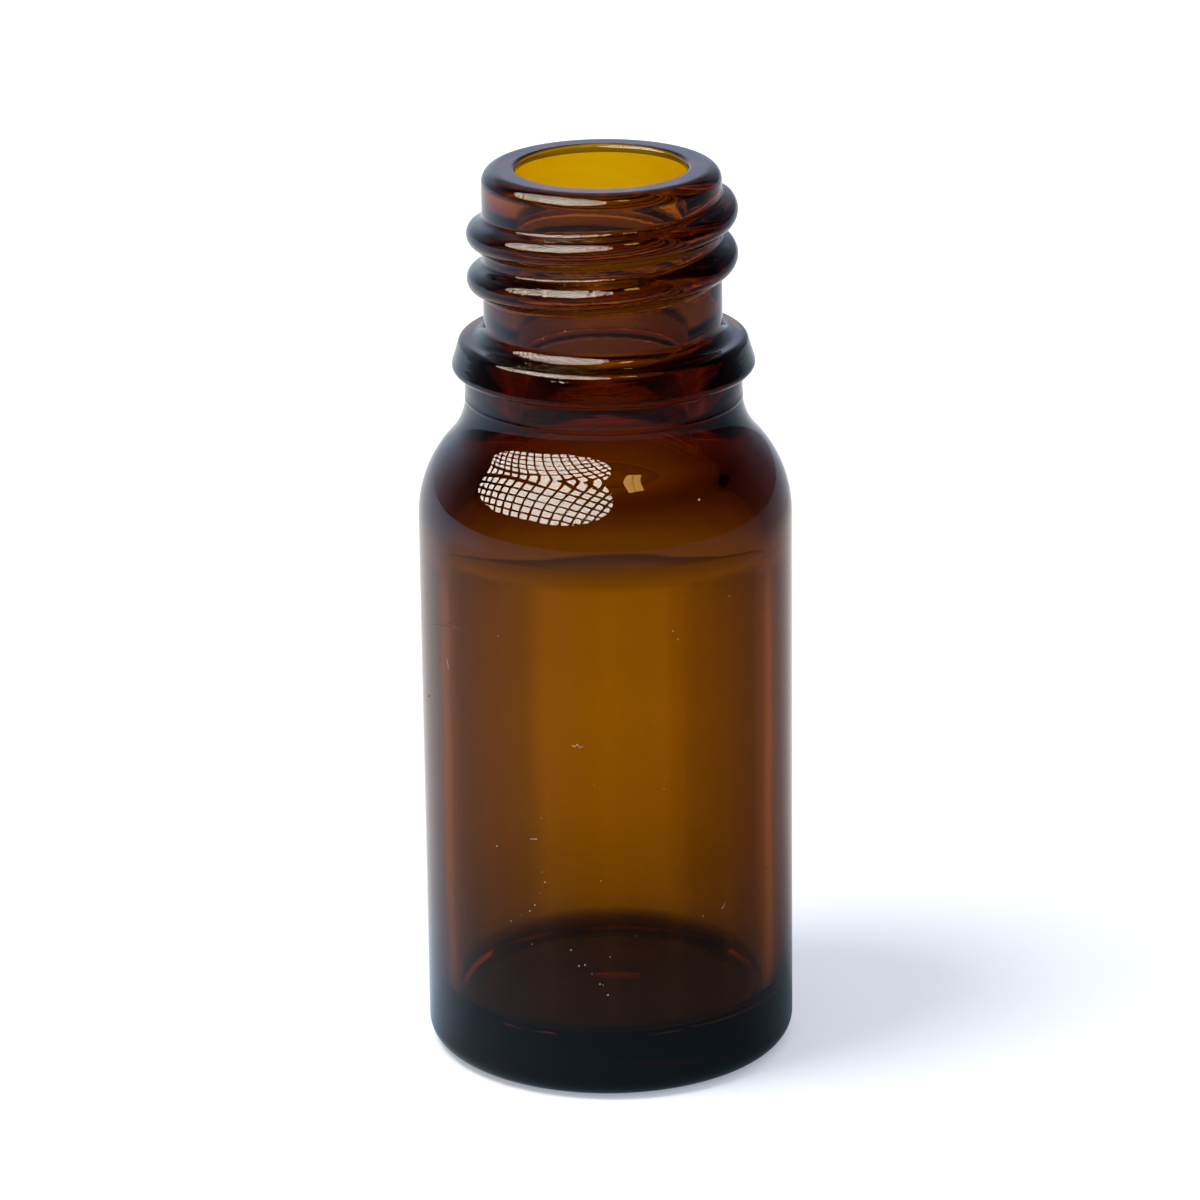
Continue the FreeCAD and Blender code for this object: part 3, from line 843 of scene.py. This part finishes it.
floorSeenWithPaintedShade = (  # millimetres from the axis, and the share seen through the glass there: painted shade, dark under and near the bottle in place of its shadow
    (12.0, 0.00),
    (16.0, 0.05),
    (18.5, 0.13),
    (22.0, 0.28),
    (26.0, 0.40),
    (42.0, 0.57),
    (64.0, 0.66),
    (76.0, 0.62),
    (83.0, 0.62),
    (94.0, 0.60),
    (110.0, 0.40),
    (160.0, 0.28),
    (212.0, 0.28),
    (222.0, 1.00),
)


def aroundAngle(tree, x, y):
    # Degrees round from the front, minus on the left
    return maths(tree, "DEGREES", maths(tree, "ARCTAN2", x, maths(tree, "MULTIPLY", y, -1.0)))


def stripColour(tree, direction):
    # Bright upright strips with dimmer gaps low down, plain white above them, dark overhead
    x, y, height = xyzOf(tree, direction)
    strips = maths(tree, "DIVIDE", maths(tree, "ARCTAN2", x, y), math.radians(stripSpacing))
    fromMiddle = maths(tree, "ABSOLUTE", maths(tree, "SUBTRACT", strips,
                                               maths(tree, "ROUND", strips)))
    across = levelRamp(tree, maths(tree, "MULTIPLY", fromMiddle, stripSpacing), stripLevels)
    banded = mixed(tree, levelRamp(tree, height, stripFade), across, (1, 1, 1, 1))
    return multiplied(tree, banded, levelRamp(tree, height, stripHeights))


def floorMaterial():
    material, shader = principledMaterial("paleFloorWithPaintedLight", surroundings["floorColour"],
                                          surroundings["floorRoughness"])
    shader.inputs["Specular IOR Level"].default_value = 0
    tree = material.node_tree
    x, y, _ = xyzOf(tree, addNode(tree, "ShaderNodeNewGeometry").outputs["Position"])
    away = maths(tree, "DIVIDE", flatLength(tree, x, y), mm)
    around = aroundAngle(tree, x, y)

    # Painted contact shadow: the light added for the camera dips and turns bluer where the floor
    # meets the base
    lift = levelRamp(tree, away, surroundings["floorLiftAndPaintedShadow"])
    lifted = addNode(tree, "ShaderNodeAddShader")
    tree.links.new(shader.outputs[0], lifted.inputs[0])
    tree.links.new(glowing(tree, "ShaderNodeEmission", lift), lifted.inputs[1])
    # Painted reflection: for rays reflected off the glass the floor glows with these colours
    # instead of its lit shade
    lit = mixed(tree, levelRamp(tree, away, nearToFar), levelRamp(tree, around, paintedReflectionNear),
                levelRamp(tree, around, paintedReflectionFar))
    tinted = multiplied(tree, lit, levelRamp(tree, away, paintedReflectionTint))
    reflected = glowing(tree, "ShaderNodeEmission", tinted)
    # Painted shade: through the glass the floor lets through less of what lies beyond it near the
    # bottle, in place of the bottle's shadow
    clear = addNode(tree, "ShaderNodeBsdfTransparent")
    tree.links.new(levelRamp(tree, away, floorSeenWithPaintedShade), clear.inputs["Color"])

    rays = addNode(tree, "ShaderNodeLightPath").outputs
    forCamera = chosen(tree, rays["Is Camera Ray"], shader.outputs[0], lifted.outputs[0])
    forGloss = chosen(tree, rays["Is Glossy Ray"], forCamera, reflected)
    # Chosen last, because rays bent by the glass count as glossy too
    throughGlass = chosen(tree, rays["Is Transmission Ray"], forGloss, clear.outputs[0])
    tree.links.new(throughGlass, tree.nodes["Material Output"].inputs["Surface"])
    return material


def makeFloor():
    half = surroundings["floorHalf"]
    plane = bpy.data.meshes.new("floor")
    plane.from_pydata([(-half, -half, 0), (half, -half, 0), (half, half, 0), (-half, half, 0)],
                      [], [(0, 1, 2, 3)])
    plane.materials.append(floorMaterial())
    obj = bpy.data.objects.new("floor", plane)
    scene.collection.objects.link(obj)


def makeWorld():
    world = bpy.data.worlds.new("studio")
    world.use_nodes = True
    scene.world = world
    tree = world.node_tree
    direction = addNode(tree, "ShaderNodeTexCoord").outputs["Generated"]
    x, y, height = xyzOf(tree, direction)
    lit = multiplied(tree, levelRamp(tree, aroundAngle(tree, x, y), reflectedRoom),
                     levelRamp(tree, height, roomHeights))
    fill = glowing(tree, "ShaderNodeBackground", (*surroundings["fillColour"], 1),
                   surroundings["fill"])
    white = glowing(tree, "ShaderNodeBackground", (1, 1, 1, 1))
    reflected = glowing(tree, "ShaderNodeBackground", lit)
    strips = glowing(tree, "ShaderNodeBackground", stripColour(tree, direction))

    rays = addNode(tree, "ShaderNodeLightPath").outputs
    forCamera = chosen(tree, rays["Is Camera Ray"], fill, white)
    forGloss = chosen(tree, rays["Is Glossy Ray"], forCamera, reflected)
    throughGlass = chosen(tree, rays["Is Transmission Ray"], forGloss, strips)
    tree.links.new(throughGlass, tree.nodes["World Output"].inputs["Surface"])


# Lamps, by azimuth from the front (left is minus), height angle and distance from the bottle,
# in degrees and metres

softbox = {
    "azimuth": -45.0,
    "elevation": 40.0,
    "distance": 0.55,
    "size": (1.0, 0.57),
    "shift": (-0.10, 0.085),
    "corner": 2.15,  # 2 makes it round, more makes it square
    "strength": 14.5,
    "colour": (1.0, 0.91, 0.82),
    "cells": (15, 9),
    "webShare": (0.16, 0.36),  # hidden where it faces the bottle, and half a panel from there
}
smallBox = {
    "azimuth": 29.0,
    "elevation": 59.0,
    "distance": 0.55,
    "size": (0.085, 0.10),
    "shift": (0, 0),
    "corner": 40.0,
    "strength": 8.0,
    "colour": (1.0, 0.56, 0.15),
    "cells": (2, 1),
    "webShare": (0.08, 0.08),
}
keyLamp = {
    "azimuth": -68.0,
    "elevation": 66.0,
    "distance": 0.60,
    "size": 0.22,
    "power": 2.3,
    "colour": (1.0, 0.99, 0.98),
}
aimShare = 0.6  # share of the bottle's height that the lamps face


def standAt(spec):
    azimuth = math.radians(spec["azimuth"])
    elevation = math.radians(spec["elevation"])
    out = Vector((math.sin(azimuth) * math.cos(elevation),
                  -math.cos(azimuth) * math.cos(elevation), math.sin(elevation)))
    turned = out.to_track_quat("Z", "Y").to_matrix().to_4x4()
    aim = Vector((0, 0, bottleHigh.z * aimShare))
    return Matrix.Translation(aim + out * spec["distance"]) @ turned


def panelMaterial(name, spec):
    # A glowing panel behind a grid, whose deep webs hide more of it where they are seen aslant
    material = bpy.data.materials.new(name)
    material.use_nodes = True
    tree = material.node_tree
    tree.nodes.remove(tree.nodes["Principled BSDF"])
    chart = xyzOf(tree, addNode(tree, "ShaderNodeTexCoord").outputs["UV"])
    aslant = flatLength(tree, *(
        maths(tree, "SUBTRACT", chart[axis], 0.5 - shift / size)
        for axis, size, shift in zip("XY", spec["size"], spec["shift"])
    ))
    facing, edge = spec["webShare"]
    web = maths(tree, "MULTIPLY_ADD", maths(tree, "MULTIPLY", aslant, 2.0), edge - facing, facing)
    strength = spec["strength"]
    reach = 0.0
    for axis, count in zip("XY", spec["cells"]):
        inCell = maths(tree, "FRACT", maths(tree, "MULTIPLY", chart[axis], count))
        strength = maths(tree, "MULTIPLY", strength, maths(tree, "GREATER_THAN", inCell, web))
        out = maths(tree, "ABSOLUTE", maths(tree, "MULTIPLY_ADD", chart[axis], 2.0, -1.0))
        reach = maths(tree, "ADD", maths(tree, "POWER", out, spec["corner"]), reach)
    strength = maths(tree, "MULTIPLY", strength, maths(tree, "LESS_THAN", reach, 1.0))
    # Rays that have been inside the glass don't see it
    inside = addNode(tree, "ShaderNodeLightPath").outputs["Transmission Depth"]
    strength = maths(tree, "MULTIPLY", strength, maths(tree, "LESS_THAN", inside, 0.5))
    glow = glowing(tree, "ShaderNodeEmission", (*spec["colour"], 1), strength)
    tree.links.new(glow, tree.nodes["Material Output"].inputs["Surface"])
    return material


def makePanel(name, spec):
    corners = ((0, 0), (1, 0), (1, 1), (0, 1))
    (width, height), (right, up) = spec["size"], spec["shift"]
    mesh = bpy.data.meshes.new(name)
    mesh.from_pydata([(right + (u - 0.5) * width, up + (v - 0.5) * height, 0)
                      for u, v in corners], [], [(0, 1, 2, 3)])
    chart = mesh.uv_layers.new(name="panel")
    for corner, place in zip(chart.data, corners):
        corner.uv = place
    mesh.materials.append(panelMaterial(name, spec))
    obj = bpy.data.objects.new(name, mesh)
    scene.collection.objects.link(obj)
    obj.matrix_world = standAt(spec)
    obj.visible_camera = False  # only the glass reflects it
    obj.visible_diffuse = False
    obj.visible_transmission = False
    obj.visible_shadow = False


def makeLamp(name, spec):
    lamp = bpy.data.lights.new(name, "AREA")
    lamp.shape = "DISK"
    lamp.size = spec["size"]
    lamp.energy = spec["power"]
    lamp.color = spec["colour"]
    lamp.cycles.use_multiple_importance_sampling = False  # so the glass doesn't reflect it
    obj = bpy.data.objects.new(name, lamp)
    scene.collection.objects.link(obj)
    obj.matrix_world = standAt(spec)


makeFloor()
makeWorld()
makePanel("softboxPanel", softbox)
makePanel("smallBoxPanel", smallBox)
makeLamp("keyLamp", keyLamp)
print("surroundings made")
